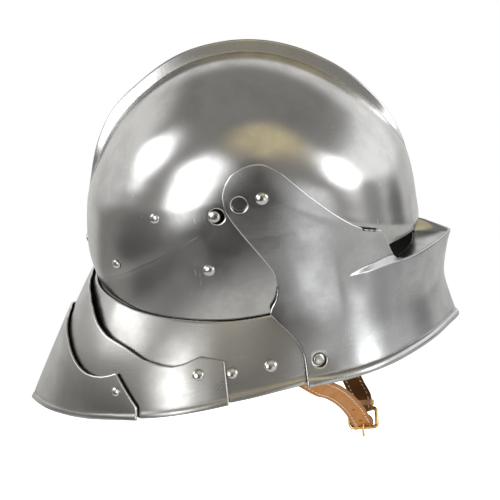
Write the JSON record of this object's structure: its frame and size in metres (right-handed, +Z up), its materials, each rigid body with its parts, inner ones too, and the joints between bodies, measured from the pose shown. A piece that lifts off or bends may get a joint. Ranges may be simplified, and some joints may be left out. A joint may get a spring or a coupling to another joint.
{
  "type": "visored sallet",
  "caption": "Late Gothic sallet of satin-polished steel plates with medial comb, pivoted half visor with sight shelf, laminated tail and buckled leather chin strap.",
  "frame": {"origin": "the inside of the crown on the middle plane, where the helmet rests on the head that holds it", "axes": "+X to the front (visor), +Y to the wearer's left, +Z up, with the rim level"},
  "size_m": [0.343, 0.236, 0.3272],
  "materials": {
    "steel": "satin-polished steel plate",
    "leather": "tan vegetable-tanned strap",
    "brass": "polished brass"
  },
  "bodies": {
    "helmet": {"skull": "steel", "lame_1": "steel", "rivet_temple_right": "steel", "rivet_temple_left": "steel", "rivet_side_right": "steel", "rivet_side_left": "steel", "rivet_rear_right": "steel", "rivet_rear_left": "steel", "rivet_strap_right": "steel", "rivet_strap_left": "steel", "rivet_neck_right": "steel", "rivet_neck_left": "steel", "rivet_lame_2_right": "steel", "rivet_lame_2_left": "steel", "pivot_right": "steel", "pivot_left": "steel", "spring_stud_right": "steel", "spring_stud_left": "steel", "rivet_nape": "steel", "strap_right": "leather", "strap_left": "leather", "strap_keeper": "leather", "buckle_frame": "brass", "buckle_tongue": "brass"},
    "visor": {"visor": "steel"},
    "lame_2": {"lame_2": "steel", "rivet_lame_3_right": "steel", "rivet_lame_3_left": "steel"},
    "lame_3": {"lame_3": "steel"},
    "catch_right": {"catch_stud_right": "steel"},
    "catch_left": {"catch_stud_left": "steel"}
  },
  "joints": [
    {"name": "visor_hinge", "type": "hinge", "parent": "helmet", "child": "visor", "pos_m": [0.0125, 0, -0.083], "axis": [0, -1, 0], "range_deg": [0, 60]},
    {"name": "lame_2_hinge", "type": "hinge", "parent": "helmet", "child": "lame_2", "pos_m": [-0.0558, 0, -0.2018], "axis": [0, 1, 0], "range_deg": [0, 2.5]},
    {"name": "lame_3_hinge", "type": "hinge", "parent": "lame_2", "child": "lame_3", "pos_m": [-0.1185, 0, -0.2096], "axis": [0, 1, 0], "range_deg": [0, 2.5]},
    {"name": "catch_right_slide", "type": "slide", "parent": "helmet", "child": "catch_right", "axis": [0.2995, -0.9442, 0.1372], "range_m": [0, 0.0034]},
    {"name": "catch_left_slide", "type": "slide", "parent": "helmet", "child": "catch_left", "axis": [0.2995, 0.9442, 0.1372], "range_m": [0, 0.0034]}
  ]
}
